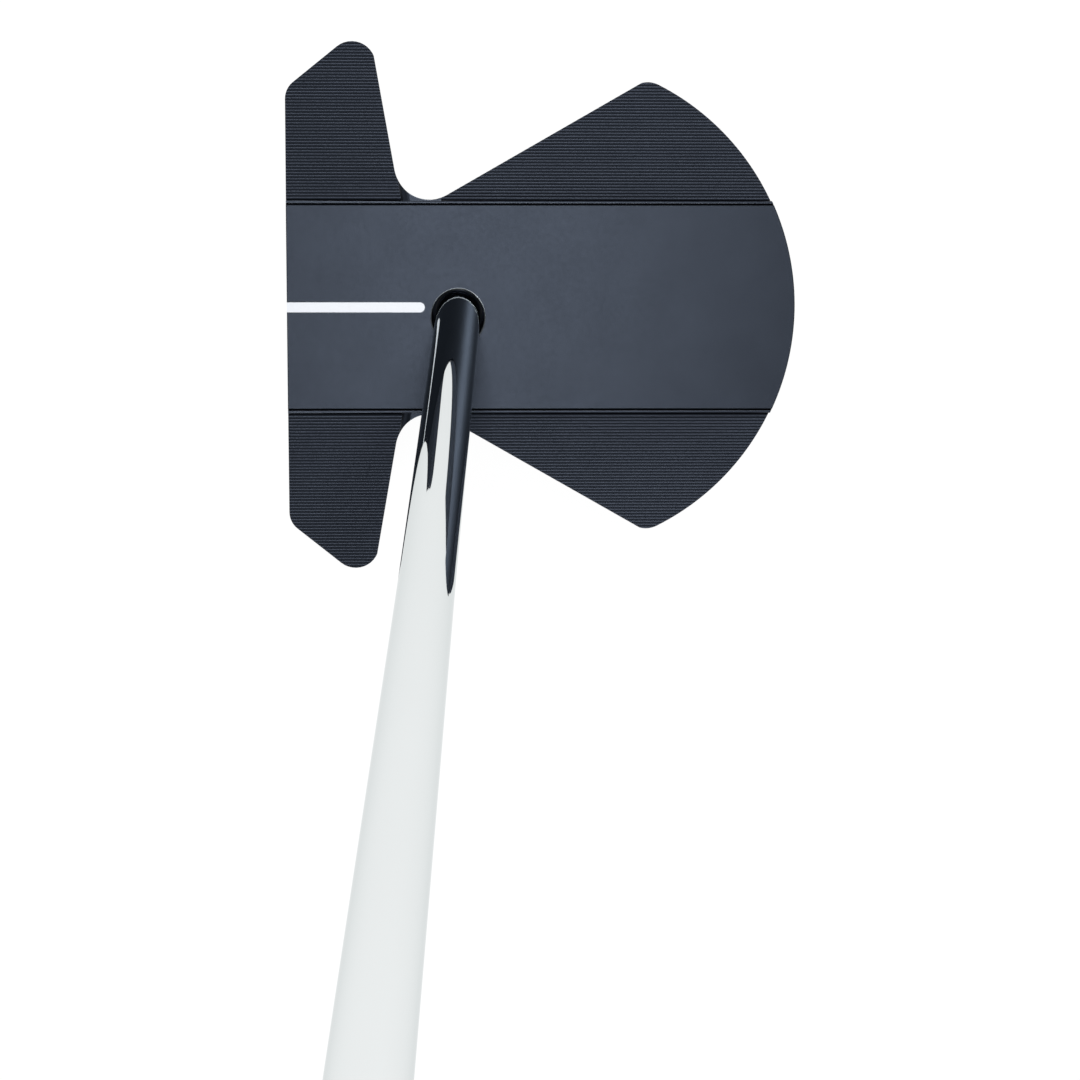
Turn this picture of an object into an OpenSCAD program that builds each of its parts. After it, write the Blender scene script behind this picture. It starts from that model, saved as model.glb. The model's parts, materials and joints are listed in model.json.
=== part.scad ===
// Mallet putter for a right-handed player, with a shaft that enters the top of the head.
// Frame: +Z up, +X towards the heel and the player, +Y away from the face.
// The origin is on the sole, on the middle plane, level with the shaft.
// All sizes are in millimetres and all angles in degrees.

/* [Head outline] */
// Width of the head across its wing tips
head_w = 110.5; // [90:0.1:135]
// Depth of the head from the face to the back
head_d = 107; // [88:0.1:130]
// Width of the flat face before its corners are rounded
face_w = 90.9; // [80:0.1:104]
// Distance from the top of the face to the shaft's axis
shaft_setback = 35.9; // [32:0.1:43]
// Angle of the wing's front corner from the line of aim
corner_angle = 38.7; // [32:0.1:46]
// Sweep of the wing's rear edge
wing_sweep = 10; // [5:0.5:14]
// Width of the waist between the two notches
waist_w = 45.8; // [45:0.1:54]
// Spread of each side of the fan from the line of aim
fan_angle = 30; // [26:0.5:33]
// Radius of the rounded back
back_r = 52; // [46:0.1:62]
// Radius of the corner between the face and the wing
face_corner_r = 4.5; // [2:0.1:6]
// Radius of the wing tip
tip_r = 5; // [3:0.1:6]
// Radius of the notch
notch_r = 7.1; // [5:0.1:9]
// Radius of the fan's corner
fan_corner_r = 5.2; // [4:0.1:8]

/* [Head heights] */
// Height of the top of the face
face_h = 25; // [24:0.1:30]
// Fall of the top surface towards the back
top_fall = 2; // [0:0.5:3]
// Fall of each ribbed surface towards its tip
rib_fall = 1.5; // [0:0.5:3]
// Loft of the face
loft = 3; // [1:0.5:5]
// Angle by which the walls of a notch lean in under the top
notch_draft = 6; // [4:0.5:8]
// Rise of the rear sole
rear_rise = 5; // [3:0.5:6]
// Distance behind the shaft at which the rear sole starts to rise
rise_start = 13; // [12:0.5:16]
// Rise of the sole towards the heel and the toe
side_rise = 7; // [4:0.5:9]
// Half width of the flat part of the sole
side_start = 27; // [25:0.5:30]
// Size of the chamfer on the leading edge
lead_chamfer = 1.2; // [0.5:0.1:2]

/* [Top band and ribs] */
// Width of the smooth raised band, as wide as a golf ball
band_w = 42.7; // [38:0.1:43]
// Drop from the band to the crests of the wing's ribs
band_step = 0.7; // [0.4:0.05:1.2]
// Further drop from the wings to the fan
fan_step = 1.4; // [0.5:0.1:2]
// Radius at the foot of that drop
step_r = 2.1; // [2:0.1:4]
// Spacing of the milled ribs
rib_pitch = 0.643; // [0.5:0.001:1.2]
// Radius of the cutter that leaves the ribs
rib_cutter_r = 0.55; // [0.5:0.05:1.5]
// Width of the white aiming line
line_w = 2.1; // [1:0.1:3]
// Depth of the groove that holds the line's paint
line_t = 0.4; // [0.3:0.05:0.8]
// Gap between the end of the line and the shaft hole
line_gap = 1.4; // [0.8:0.1:4]

/* [Shaft] */
// Length of the club along the shaft, from the ground to the end of the grip
putter_length = 863.6; // [700:0.1:1050]
// Lie, the angle from the ground to the shaft
lie = 70; // [68:0.5:72]
// Height at which the shaft's axis crosses the middle plane of the head
cross_h = 18; // [16:0.1:21]
// Diameter of the shaft's parallel tip
tip_d = 9.4; // [7.8:0.05:11.4]
// Diameter of the shaft's butt
butt_d = 14.7; // [13:0.05:15.6]
// Wall of the shaft
shaft_wall = 0.6; // [0.4:0.05:1]
// Distance along the shaft from the ground to its tip
shaft_foot = 8; // [7:0.1:10]
// Distance along the shaft from the ground to the start of its taper
taper_start = 148; // [80:1:250]
// Radial gap around the shaft, filled with epoxy
epoxy_t = 0.15; // [0.1:0.05:0.3]
// Radial gap around the shaft at the mouth of its hole
mouth_gap = 0.85; // [0.4:0.05:1.5]
// Depth of that wider mouth along the shaft
mouth_depth = 4.5; // [2:0.1:6]

/* [Face insert] */
// Width of the face insert
insert_w = 62; // [50:0.5:66]
// Height of the face insert
insert_h = 16.5; // [13:0.5:17.5]
// Thickness of the face insert
insert_t = 3.6; // [3:0.1:4]
// Corner radius of the face insert
insert_r = 4; // [2:0.5:6]
// Height of the middle of the face insert
insert_z = 12.4; // [11.5:0.1:13]
// Thickness of the damping pad behind the insert
pad_t = 0.8; // [0.5:0.1:1]

/* [Sole fittings] */
// Width of the sole plate
plate_w = 40; // [34:0.5:46]
// Length of the sole plate
plate_l = 40; // [34:0.5:44]
// Thickness of the sole plate
plate_t = 2.5; // [2:0.1:3]
// Width of the rear cover
cover_w = 42; // [35:0.5:44]
// Distance from the back of the head to the rear cover
cover_rim = 12; // [9:0.5:16]
// Thickness of the rear cover
cover_t = 2; // [1.8:0.1:2.5]
// Thickness of the gasket above the rear cover
gasket_t = 0.4; // [0.2:0.05:0.6]
// Width of the ledge that the rear cover sits on
ledge_w = 2.6; // [2:0.1:3.5]
// Thickness of the roof over the cavity
roof_t = 4; // [3:0.1:6]
// Diameter of a front weight
front_weight_d = 13; // [10.8:0.1:14]
// Diameter of a rear weight
rear_weight_d = 14; // [11.6:0.1:17]
// Distance of a front weight inwards from the middle of the wing tip
front_weight_in = 9.4; // [9:0.1:12]
// Distance of a rear weight inwards from the middle of the fan's corner
rear_weight_in = 7.5; // [7:0.1:9]

/* [Grip] */
// Length of the grip with its cap and collar
grip_length = 267; // [220:1:320]
// Radius of the grip's round back at the butt
grip_butt_r = 16.2; // [14:0.1:19.5]
// Radius of the grip's round back at the mouth
grip_mouth_r = 13.4; // [12.6:0.1:15]
// Distance from the shaft's axis to the grip's flat at the butt
butt_flat = 12.6; // [11.4:0.1:14]
// Distance from the shaft's axis to the grip's flat at the mouth
mouth_flat = 11.4; // [10.8:0.1:12.5]
// Thickness of the grip's skin
skin_t = 1.3; // [1:0.1:1.8]
// Thickness of the double-sided grip tape
tape_t = 0.3; // [0.2:0.05:0.5]
// Thickness of the end cap
cap_t = 6; // [5:0.1:8]
// Length of the end cap's plug inside the shaft
plug_l = 8; // [5:0.5:12]
// Diameter of the vent hole in the end cap
vent_d = 5; // [3:0.1:6]
// Length of the collar at the grip's mouth
collar_l = 9; // [6:0.5:12]

/* [Hidden] */
$fn = 96;

fit_gap = 0.1;     // clearance around a piece that drops into a pocket
thread_gap = 0.02; // radial clearance of a threaded pair
far = 400;         // reach of the cutting blocks
slice = 0.01;      // thickness of the sections that a skin is stretched over

// ---- outline of the head, on the heel side ----
face_y = -shaft_setback;
back_y = face_y + head_d;
corner_out = [cos(corner_angle), -sin(corner_angle)];
wing_dir = [cos(wing_sweep), -sin(wing_sweep)];
wing_back = [sin(wing_sweep), cos(wing_sweep)];
fan_dir = [sin(fan_angle), cos(fan_angle)];
fan_out = [cos(fan_angle), -sin(fan_angle)];

// The arc of the face's corner is tangent to the face and to the wing's front corner
face_arc = [face_w / 2 - face_corner_r * tan(45 - corner_angle / 2), face_y + face_corner_r];
tip_x = head_w / 2 - tip_r;
tip_c = [tip_x, face_y + (corner_out[0] * (tip_x - face_w / 2) + tip_r) / sin(corner_angle)];
tip_to = tip_c + wing_back * tip_r;
// The notch is tangent to the waist, the wing's rear edge and the side of the fan
notch_x = waist_w / 2 + notch_r;
notch_c = [notch_x, tip_to[1] + (notch_r - wing_back[0] * (notch_x - tip_to[0])) / wing_back[1]];
notch_from = notch_c - wing_back * notch_r;
notch_to = notch_c - fan_out * notch_r;
fan_drop = band_step + fan_step;
// The fan's corner is tangent to the rounded back and to the side of the fan. That side leans in,
// so it is taken at the height of the fan's top, about two thirds of the way to the back.
back_c = [0, back_y - back_r];
fan_lean = (fan_drop + 0.67 * head_d * tan(top_fall)) * tan(notch_draft);
fan_start = notch_to - fan_out * (fan_corner_r + fan_lean) - back_c;
fan_run = -(fan_start * fan_dir)
  + sqrt(pow(fan_start * fan_dir, 2) - fan_start * fan_start + pow(back_r - fan_corner_r, 2));
fan_c = back_c + fan_start + fan_dir * fan_run;
fan_c_angle = atan2(fan_c[1] - back_c[1], fan_c[0]);
// Points of an arc between two directions from its centre
function arc(c, r, from, to, steps) =
  [for (i = [0 : steps]) let (a = from + (to - from) * i / steps) c + r * [cos(a), sin(a)]];
corner_steps = 12;
back_steps = 40;
half_outline = concat(
  arc(face_arc, face_corner_r, -90, -corner_angle, corner_steps),
  arc(tip_c, tip_r, -corner_angle, 90 - wing_sweep, corner_steps),
  arc(fan_c, fan_corner_r, -fan_angle, fan_c_angle, corner_steps),
  arc(back_c, back_r, fan_c_angle, 90 - 0.5 * (90 - fan_c_angle) / back_steps, back_steps)
);

// ---- shaft and its hole ----
ground_x = -cross_h / tan(lie);
shaft_end = putter_length - cap_t;
head_top = (face_h - shaft_setback * tan(top_fall)) / sin(lie);
bore_r = tip_d / 2 + epoxy_t;
mouth_r = tip_d / 2 + mouth_gap;
function shaft_r(s) =
  tip_d / 2 + (butt_d - tip_d) / 2 * max(0, s - taper_start) / (shaft_end - taper_start);

// ---- profile across the top, from the middle outwards ----
edge_chamfer = 0.15;
groove_w = 0.4;      // width and depth of the groove on each side of the lip
lip_w = 0.45;
lip_drop = 0.2;
lip_out = band_w / 2 + groove_w + lip_w;
rib_start = lip_out + groove_w;
rib_count = ceil((head_w / 2 - rib_start) / rib_pitch) + 1;
rib_steps = 4;
rib_rise = sqrt(pow(rib_cutter_r, 2) - pow(rib_pitch / 2, 2));
function rib_z(x, middle) =
  rib_rise - sqrt(pow(rib_cutter_r, 2) - pow(x - middle, 2)) - (x - rib_start) * tan(rib_fall);
band_points = [
  [band_w / 2 - edge_chamfer, 0],
  [band_w / 2, -edge_chamfer],
  [band_w / 2 + groove_w / 2, -lip_drop - groove_w],
  [band_w / 2 + groove_w, -lip_drop],
  [lip_out, -lip_drop]
];
rib_points = [
  for (i = [0 : rib_count - 1]) for (j = [0 : rib_steps - 1])
    let (x = rib_start + rib_pitch * (i + j / rib_steps))
    [x, rib_z(x, rib_start + rib_pitch * (i + 0.5))]
];
rib_depth = rib_cutter_r - rib_rise;
// Half of the profile, with the ribs' crests at the given drop below the band
function top_half(drop) = concat(
  band_points,
  [[lip_out + groove_w / 2, -drop - groove_w / 2]],
  [for (p = rib_points) [p[0], p[1] - drop]],
  [[far / 4, -drop], [far / 4, far / 8]]
);
fan_ribs_y = notch_c[1] + 2.5;

// ---- face insert, sole plate and rear cover ----
socket_depth = insert_t + pad_t;
plate_back = rise_start - 1.5;
plate_mid = plate_back - plate_l / 2;
plate_r = 3;
cover_front = rise_start + 2.5;
cover_back = back_y - cover_rim;
cover_mid = (cover_front + cover_back) / 2;
cover_l = cover_back - cover_front;
cover_r = 6;
screw_head_r = 2.4;
screw_head_t = 1.1;
screw_r = 1.25;
screw_l = 7;
screw_in = 4.2;       // distance of a screw from the edges of its plate
screw_boss_r = 3.6;
socket_share = 0.55;  // size of a hexagon socket against the head that holds it

// ---- weights ----
front_weight = [tip_c[0] - front_weight_in, tip_c[1] - 4.6];
rear_weight = [fan_c[0] - rear_weight_in, fan_c[1]];
weight_t = 3;
stud_r = 2.5;
stud_l = 6.5;
washer_t = 0.6;
sleeve_t = 0.8;
weight_socket = 2.3;

// ---- grip ----
grip_start = putter_length - grip_length;
skin_start = grip_start + collar_l;
section_points = 72;
corner_power = 9;     // higher makes the corners beside the flat sharper
// Distance from the axis to the grip's surface: a circle with one flat, on the side of the toe
function grip_reach(a, r, flat) =
  pow(pow(max(0, -cos(a)) / flat, corner_power) + pow(1 / r, corner_power), -1 / corner_power);
function grip_section(r, flat) =
  [for (i = [0 : section_points - 1])
    let (a = 360 * i / section_points, reach = grip_reach(a, r, flat))
    [reach * cos(a), reach * sin(a)]];

// ---- frames ----
module along_shaft(s = 0) {
  translate([ground_x, 0, 0]) rotate([0, 90 - lie, 0]) translate([0, 0, s]) children();
}

// Tilted with the top of the head, about the top of the face
module on_top() {
  translate([0, face_y, face_h]) rotate([-top_fall, 0, 0]) translate([0, -face_y, 0]) children();
}

// Leaning with the loft, about the top of the face
module on_face() {
  translate([0, face_y, face_h]) rotate([-loft, 0, 0]) translate([0, -face_y, -face_h]) children();
}

module on_rear_sole() {
  translate([0, rise_start, 0]) rotate([rear_rise, 0, 0]) translate([0, -rise_start, 0]) children();
}

module on_side_sole() {
  translate([side_start, 0, 0]) rotate([0, -side_rise, 0]) translate([-side_start, 0, 0]) children();
}

module both_sides() {
  children();
  mirror([1, 0, 0]) children();
}

module at_front_weight() {
  on_side_sole() translate([front_weight[0], front_weight[1], 0]) children();
}

module at_rear_weight() {
  on_rear_sole() translate([rear_weight[0], rear_weight[1], 0]) children();
}

module at_each_weight() {
  both_sides() {
    at_front_weight() children();
    at_rear_weight() children();
  }
}

// ---- flat shapes ----
module rounded(w, l, r) {
  translate([-w / 2 + r, -l / 2]) square([w - 2 * r, l]);
  translate([-w / 2, -l / 2 + r]) square([w, l - 2 * r]);
  for (x = [-1, 1], y = [-1, 1]) translate([x * (w / 2 - r), y * (l / 2 - r)]) circle(r);
}

module at_corners(w, l, inset) {
  for (x = [-1, 1], y = [-1, 1]) translate([x * (w / 2 - inset), y * (l / 2 - inset)]) children();
}

// Outline of the head with its notches still filled
module head_outline() {
  polygon(concat(half_outline, [for (i = [len(half_outline) - 1 : -1 : 0])
    [-half_outline[i][0], half_outline[i][1]]]));
}

// ---- cutting blocks of the head ----
// Everything between the wing and the fan, on the heel side, with walls that lean in under the top
module notch_cutter() {
  depth = face_h + 10;
  reach = notch_r + depth * tan(notch_draft) + 0.5;
  translate([notch_c[0], notch_c[1], face_h - depth])
    cylinder(h = depth + 5,
             r1 = notch_r + depth * tan(notch_draft), r2 = notch_r - 5 * tan(notch_draft));
  translate([notch_from[0], notch_from[1], face_h]) rotate([0, 0, -wing_sweep])
    rotate([-notch_draft, 0, 0]) translate([0, 0, -far / 4]) cube([far / 4, reach, far / 2]);
  translate([notch_to[0], notch_to[1], face_h]) rotate([0, 0, 90 - fan_angle])
    rotate([notch_draft, 0, 0]) translate([0, -reach, -far / 4]) cube([far / 4, reach, far / 2]);
  translate([0, 0, -far / 4]) linear_extrude(far / 2)
    polygon([notch_c, notch_c + wing_dir * far / 4, notch_c + fan_dir * far / 4]);
}

// Everything above the ribs, and above the band, from the front to the back given
module top_cutter(drop, front, back) {
  half = top_half(drop);
  left = [for (i = [len(half) - 1 : -1 : 0]) [-half[i][0], half[i][1]]];
  on_top() translate([0, back, 0]) rotate([90, 0, 0]) linear_extrude(back - front)
    polygon(concat(left, half));
}

// The smooth drop behind the wing, on the heel side
module step_cutter() {
  rise = fan_drop + rib_depth;
  run = sqrt(pow(step_r, 2) - pow(max(0, step_r - rise), 2));
  intersection() {
    on_top() translate([notch_from[0], notch_from[1], 0]) rotate([90, 0, 90 - wing_sweep])
      translate([0, 0, -far / 8]) linear_extrude(far / 4) {
        translate([run, -rise]) square([far / 8, far / 8]);
        intersection() {
          translate([run, step_r - rise]) circle(step_r);
          translate([0, -rise]) square([step_r, far / 8]);
        }
      }
    translate([lip_out, face_y, 0]) cube([far / 4, fan_ribs_y - face_y, far / 4]);
  }
}

module shaft_hole() {
  along_shaft(shaft_foot) cylinder(h = far / 8, r = bore_r);
  along_shaft(head_top - mouth_depth) cylinder(h = far / 8, r = mouth_r);
}

module line_shape() {
  end_y = -mouth_r - line_gap - line_w / 2;
  translate([-line_w / 2, face_y - 5]) square([line_w, end_y - face_y + 5]);
  translate([0, end_y]) circle(line_w / 2);
}

module insert_block(gap, front, back) {
  on_face() translate([0, face_y, insert_z]) rotate([-90, 0, 0]) translate([0, 0, front])
    linear_extrude(back - front) rounded(insert_w + 2 * gap, insert_h + 2 * gap, insert_r + gap);
}

module cover_cavity() {
  intersection() {
    on_rear_sole() translate([0, cover_mid, cover_t]) linear_extrude(far / 8) difference() {
      rounded(cover_w - 2 * ledge_w, cover_l - 2 * ledge_w, cover_r);
      at_corners(cover_w, cover_l, screw_in) circle(screw_boss_r);
    }
    on_top() translate([-far / 2, -far / 2, -roof_t - far / 8]) cube([far, far, far / 8]);
  }
}

module screw_hole() {
  translate([0, 0, -1]) cylinder(h = screw_l + 2, r = screw_r + thread_gap);
}

module weight_hole(d) {
  translate([0, 0, -far / 16]) cylinder(h = far / 16 + weight_t + washer_t, r = d / 2 + fit_gap);
  cylinder(h = weight_t + washer_t + stud_l + 1, r = stud_r + sleeve_t);
}

module head_body() {
  color("#3d434c") difference() {
    on_face() translate([0, 0, -20]) linear_extrude(face_h + 30) head_outline();
    translate([-far / 2, -far / 2, -far / 4]) cube([far, far, far / 4]);
    on_rear_sole() translate([-far / 2, rise_start, -far / 4]) cube([far, far / 2, far / 4]);
    both_sides() {
      on_side_sole() translate([side_start, -far / 2, -far / 4]) cube([far / 2, far, far / 4]);
      notch_cutter();
      step_cutter();
    }
    on_face() translate([0, face_y, 0]) rotate([45, 0, 0])
      translate([-far / 2, -lead_chamfer * 4, -lead_chamfer * 8])
      cube([far, lead_chamfer * 8, lead_chamfer * 8 + lead_chamfer / sqrt(2)]);
    top_cutter(band_step, face_y - 20, back_y + 20);
    top_cutter(fan_drop, fan_ribs_y, back_y + 20);
    on_top() translate([0, 0, -line_t]) linear_extrude(line_t + 1) line_shape();
    shaft_hole();
    insert_block(fit_gap, -5, socket_depth);
    translate([0, plate_mid, -1])
      linear_extrude(plate_t + 1) rounded(plate_w + 2 * fit_gap, plate_l + 2 * fit_gap, plate_r);
    translate([0, plate_mid, plate_t]) at_corners(plate_w, plate_l, screw_in) screw_hole();
    on_rear_sole() translate([0, cover_mid, -1])
      linear_extrude(cover_t + gasket_t + 1)
      rounded(cover_w + 2 * fit_gap, cover_l + 2 * fit_gap, cover_r);
    on_rear_sole() translate([0, cover_mid, cover_t + gasket_t])
      at_corners(cover_w, cover_l, screw_in) screw_hole();
    cover_cavity();
    both_sides() {
      at_front_weight() weight_hole(front_weight_d);
      at_rear_weight() weight_hole(rear_weight_d);
    }
  }
}

module alignment_line() {
  paint_low = 0.03; // the paint lies this far below the band
  color("white") intersection() {
    on_top() translate([0, 0, -line_t]) linear_extrude(line_t - paint_low) line_shape();
    on_face() translate([-far / 2, face_y, 0]) cube([far, far, far]);
  }
}

module face_insert() {
  color("#8f9499") insert_block(0, 0, insert_t);
}

module face_damping_pad() {
  color("#2b2b2b") insert_block(0, insert_t, insert_t + pad_t);
}

// A plate with counterbored holes for its screws, its underside at z = 0
module screwed_plate(w, l, r, t) {
  difference() {
    linear_extrude(t) rounded(w, l, r);
    at_corners(w, l, screw_in) {
      translate([0, 0, -1]) cylinder(h = t + 2, r = screw_r + fit_gap);
      translate([0, 0, -1]) cylinder(h = screw_head_t + 1, r = screw_head_r + fit_gap);
    }
  }
}

// A cap screw with its head's underside down, flush with z = 0
module cap_screw(length) {
  difference() {
    union() {
      cylinder(h = screw_head_t, r = screw_head_r);
      cylinder(h = length, r = screw_r);
    }
    translate([0, 0, -1]) cylinder(h = screw_head_t + 0.7, r = screw_head_r * socket_share, $fn = 6);
  }
}

module sole_plate() {
  color("#9aa0a6") translate([0, plate_mid, 0]) screwed_plate(plate_w, plate_l, plate_r, plate_t);
}

module sole_plate_screws() {
  color("#777777") translate([0, plate_mid, 0]) at_corners(plate_w, plate_l, screw_in)
    cap_screw(plate_t + screw_l);
}

module rear_cover() {
  color("#22262b") on_rear_sole() translate([0, cover_mid, 0])
    screwed_plate(cover_w, cover_l, cover_r, cover_t);
}

module rear_cover_gasket() {
  color("#111111") on_rear_sole() translate([0, cover_mid, cover_t]) linear_extrude(gasket_t)
    difference() {
      rounded(cover_w, cover_l, cover_r);
      difference() {
        rounded(cover_w - 2 * ledge_w, cover_l - 2 * ledge_w, cover_r);
        at_corners(cover_w, cover_l, screw_in) circle(screw_boss_r);
      }
      at_corners(cover_w, cover_l, screw_in) circle(screw_r + fit_gap);
    }
}

module rear_cover_screws() {
  color("#777777") on_rear_sole() translate([0, cover_mid, 0])
    at_corners(cover_w, cover_l, screw_in) cap_screw(cover_t + gasket_t + screw_l);
}

module weight(d) {
  color("#a9adb2") difference() {
    union() {
      cylinder(h = weight_t, r = d / 2);
      cylinder(h = weight_t + washer_t + stud_l, r = stud_r);
    }
    translate([0, 0, -1]) cylinder(h = weight_t + 1, r = weight_socket, $fn = 6);
  }
}

module front_heel_weight() {
  at_front_weight() weight(front_weight_d);
}

module front_toe_weight() {
  mirror([1, 0, 0]) at_front_weight() weight(front_weight_d);
}

module rear_heel_weight() {
  at_rear_weight() weight(rear_weight_d);
}

module rear_toe_weight() {
  mirror([1, 0, 0]) at_rear_weight() weight(rear_weight_d);
}

module weight_washers() {
  wall = min(front_weight_d, rear_weight_d) / 2 - 1;
  color("#1a1a1a") at_each_weight() translate([0, 0, weight_t]) difference() {
    cylinder(h = washer_t, r = wall);
    translate([0, 0, -1]) cylinder(h = washer_t + 2, r = stud_r + fit_gap);
  }
}

module weight_thread_sleeves() {
  color("#b5a46a") at_each_weight() translate([0, 0, weight_t + washer_t]) difference() {
    cylinder(h = stud_l, r = stud_r + sleeve_t);
    translate([0, 0, -1]) cylinder(h = stud_l + 2, r = stud_r + thread_gap);
  }
}

module epoxy_sleeve() {
  length = head_top - mouth_depth - shaft_foot;
  color("#c9b98a") along_shaft(shaft_foot) difference() {
    cylinder(h = length, r = bore_r);
    translate([0, 0, -1]) cylinder(h = length + 2, r = tip_d / 2);
  }
}

module shaft() {
  color("#d8dadd") along_shaft() rotate_extrude() polygon([
    [tip_d / 2 - shaft_wall, shaft_foot],
    [tip_d / 2, shaft_foot],
    [tip_d / 2, taper_start],
    [butt_d / 2, shaft_end],
    [butt_d / 2 - shaft_wall, shaft_end],
    [tip_d / 2 - shaft_wall, taper_start]
  ]);
}

// A tapered hole or plug that follows the shaft's surface from s0 to s1, larger by gap
module shaft_cone(s0, s1, gap) {
  along_shaft(s0) cylinder(h = s1 - s0, r1 = shaft_r(s0) + gap, r2 = shaft_r(s1) + gap);
}

// The grip's outer form, thinner by inset, between two places along the shaft
module grip_form(s0, s1, inset) {
  function share(s) = (s - skin_start) / (shaft_end - skin_start);
  function round_r(s) = grip_mouth_r + (grip_butt_r - grip_mouth_r) * share(s) - inset;
  function flat_at(s) = mouth_flat + (butt_flat - mouth_flat) * share(s) - inset;
  hull() {
    along_shaft(s0) linear_extrude(slice) polygon(grip_section(round_r(s0), flat_at(s0)));
    along_shaft(s1 - slice) linear_extrude(slice) polygon(grip_section(round_r(s1), flat_at(s1)));
  }
}

module grip_tape() {
  color("#e8e4d8") difference() {
    shaft_cone(skin_start, shaft_end, tape_t);
    shaft_cone(skin_start - 1, shaft_end + 1, 0);
  }
}

module grip_core() {
  color("#3a3a3a") difference() {
    grip_form(skin_start, shaft_end, skin_t);
    shaft_cone(skin_start - 1, shaft_end + 1, tape_t);
  }
}

module grip_skin() {
  color("#1c1c1e") difference() {
    grip_form(skin_start, shaft_end, 0);
    grip_form(skin_start - 1, shaft_end + 1, skin_t);
  }
}

module grip_collar() {
  mouth = shaft_r(grip_start) + 2.4;
  color("#1c1c1e") difference() {
    hull() {
      along_shaft(grip_start) cylinder(h = slice, r = mouth, $fn = section_points);
      along_shaft(skin_start - slice) linear_extrude(slice)
        polygon(grip_section(grip_mouth_r, mouth_flat));
    }
    shaft_cone(grip_start - 1, skin_start + 1, fit_gap);
  }
}

module grip_end_cap() {
  edge = 2;  // size of the rounding at the end of the cap
  plug_r = shaft_r(shaft_end - plug_l) - shaft_wall - fit_gap;
  plug_wall = 1.6;
  color("#141416") difference() {
    union() {
      hull() {
        along_shaft(shaft_end) linear_extrude(cap_t - edge)
          polygon(grip_section(grip_butt_r, butt_flat));
        along_shaft(shaft_end) linear_extrude(cap_t - edge / 3)
          polygon(grip_section(grip_butt_r - edge / 3, butt_flat - edge / 3));
        along_shaft(shaft_end) linear_extrude(cap_t)
          polygon(grip_section(grip_butt_r - edge, butt_flat - edge));
      }
      along_shaft(shaft_end - plug_l) cylinder(h = plug_l + 1, r = plug_r);
    }
    along_shaft(shaft_end - 1) cylinder(h = cap_t + 2, r = vent_d / 2);
    along_shaft(shaft_end - plug_l - 1) cylinder(h = plug_l + 1, r = plug_r - plug_wall);
  }
}

head_body();
alignment_line();
face_insert();
face_damping_pad();
sole_plate();
sole_plate_screws();
rear_cover();
rear_cover_gasket();
rear_cover_screws();
front_heel_weight();
front_toe_weight();
rear_heel_weight();
rear_toe_weight();
weight_washers();
weight_thread_sleeves();
epoxy_sleeve();
shaft();
grip_tape();
grip_core();
grip_skin();
grip_collar();
grip_end_cap();
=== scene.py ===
"""Mallet putter: a black anodised head with ribbed wings, a chrome shaft and a flat-front grip."""

import json
import math

import bmesh
import bpy
from bpy.props import FloatProperty, FloatVectorProperty, IntProperty, PointerProperty
from bpy.types import Operator, Panel, PropertyGroup
from mathutils import Matrix, Vector

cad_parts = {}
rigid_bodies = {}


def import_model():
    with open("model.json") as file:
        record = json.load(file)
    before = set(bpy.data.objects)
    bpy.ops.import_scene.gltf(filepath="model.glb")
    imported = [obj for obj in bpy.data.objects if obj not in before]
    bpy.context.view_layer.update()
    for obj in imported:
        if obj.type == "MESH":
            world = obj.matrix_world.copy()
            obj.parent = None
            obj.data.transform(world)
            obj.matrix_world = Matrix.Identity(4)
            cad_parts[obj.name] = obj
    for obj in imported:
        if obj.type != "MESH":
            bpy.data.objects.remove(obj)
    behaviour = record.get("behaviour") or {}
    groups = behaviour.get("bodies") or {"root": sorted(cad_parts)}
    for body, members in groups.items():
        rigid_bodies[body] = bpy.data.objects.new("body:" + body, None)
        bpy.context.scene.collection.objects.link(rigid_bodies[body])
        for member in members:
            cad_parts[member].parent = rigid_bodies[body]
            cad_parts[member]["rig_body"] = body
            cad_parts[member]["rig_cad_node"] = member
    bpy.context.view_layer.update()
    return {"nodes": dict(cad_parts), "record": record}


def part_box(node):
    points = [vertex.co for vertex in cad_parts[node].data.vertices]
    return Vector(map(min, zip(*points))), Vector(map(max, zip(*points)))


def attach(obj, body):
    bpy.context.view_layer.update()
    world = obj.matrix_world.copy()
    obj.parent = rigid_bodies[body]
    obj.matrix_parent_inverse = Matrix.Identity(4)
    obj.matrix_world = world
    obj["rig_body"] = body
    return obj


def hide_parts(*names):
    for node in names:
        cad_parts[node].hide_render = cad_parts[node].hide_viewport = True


bl_info = {
    "name": "Mallet Putter",
    "version": (1, 0, 0),
    "blender": (4, 5, 0),
    "location": "3D View > Sidebar > Putter",
    "description": "Builds a mallet putter around its fixed frame",
    "category": "Object",
}

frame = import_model()
MM = 0.001

# The club's axis, from the vent hole at the end of the grip, and its lean from the vertical.
VENT = next(m for m in frame["record"]["mounts"] if m["name"] == "vent_bore")
AXIS = Vector(VENT["axis"]).normalized()
AXIS_FOOT = Vector(VENT["pos_m"]) - AXIS * (VENT["pos_m"][2] / AXIS.z)
LEAN = math.atan2(AXIS.x, AXIS.z)
BODY = "root"


def linear(code):
    """An sRGB hex value as linear red, green and blue."""
    parts = [int(code[i : i + 2], 16) / 255 for i in (1, 3, 5)]
    return tuple(c / 12.92 if c <= 0.04045 else ((c + 0.055) / 1.055) ** 2.4 for c in parts)


def colour_property(name, description, code):
    return FloatVectorProperty(
        name=name, description=description, default=linear(code),
        subtype="COLOR", size=3, min=0, max=1,
    )


def length_property(name, description, millimetres):
    return FloatProperty(
        name=name, description=description, default=millimetres * MM, unit="LENGTH", precision=5
    )


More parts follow.
